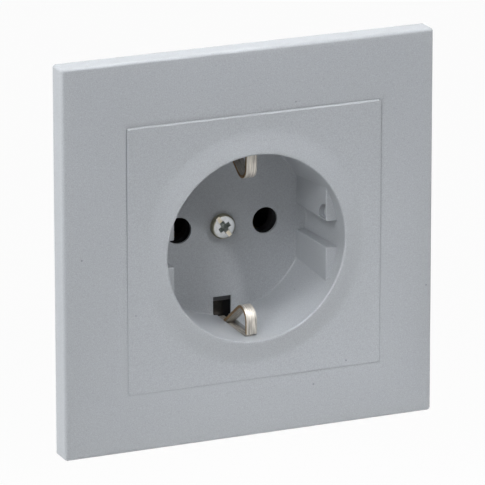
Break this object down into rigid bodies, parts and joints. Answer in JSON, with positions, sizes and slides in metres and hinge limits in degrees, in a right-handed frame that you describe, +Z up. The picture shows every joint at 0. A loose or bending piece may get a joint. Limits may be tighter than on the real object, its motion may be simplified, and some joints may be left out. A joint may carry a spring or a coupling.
{
  "type": "flush wall socket",
  "caption": "Square flush wall socket with a raised round plug well, side earth clips, a centre screw and an insert body for a round wall box.",
  "frame": {"origin": "middle of the socket on the wall surface, between the device screw holes", "axes": "+X right and +Z up as seen from the room, +Y into the wall, so the front faces -Y"},
  "size_m": [0.0806, 0.0424, 0.0806],
  "materials": {
    "grey_plastic": "fine matt moulding",
    "dark_plastic": "matt moulding",
    "lever_plastic": "satin moulding",
    "zinc_steel": "zinc plated",
    "plated_strip": "tin plated, drawn",
    "brass_strip": "stamped",
    "spring_steel": "bright rolled"
  },
  "bodies": {
    "socket": {"cover_frame": "grey_plastic", "centre_plate": "grey_plastic", "centre_screw": "zinc_steel", "bracket_nut": "zinc_steel", "earth_bracket": "plated_strip", "support_ring": "zinc_steel", "ring_rivets": "zinc_steel", "socket_base": "dark_plastic", "rear_cover": "dark_plastic", "cover_screws": "zinc_steel", "live_contact": "brass_strip", "neutral_contact": "brass_strip", "earth_busbar": "brass_strip", "live_spring_a": "spring_steel", "live_spring_b": "spring_steel", "neutral_spring_a": "spring_steel", "neutral_spring_b": "spring_steel", "earth_spring_a": "spring_steel", "earth_spring_b": "spring_steel"},
    "live_release": {"live_lever": "lever_plastic"},
    "neutral_release": {"neutral_lever": "lever_plastic"},
    "earth_release": {"earth_lever": "lever_plastic"}
  },
  "joints": [
    {"name": "live_press", "type": "slide", "parent": "socket", "child": "live_release", "axis": [0, -1, 0], "range_m": [0, 0.0015], "stiffness_N_per_m": 300},
    {"name": "neutral_press", "type": "slide", "parent": "socket", "child": "neutral_release", "axis": [0, -1, 0], "range_m": [0, 0.0015], "stiffness_N_per_m": 300},
    {"name": "earth_press", "type": "slide", "parent": "socket", "child": "earth_release", "axis": [0, -1, 0], "range_m": [0, 0.0015], "stiffness_N_per_m": 300}
  ]
}
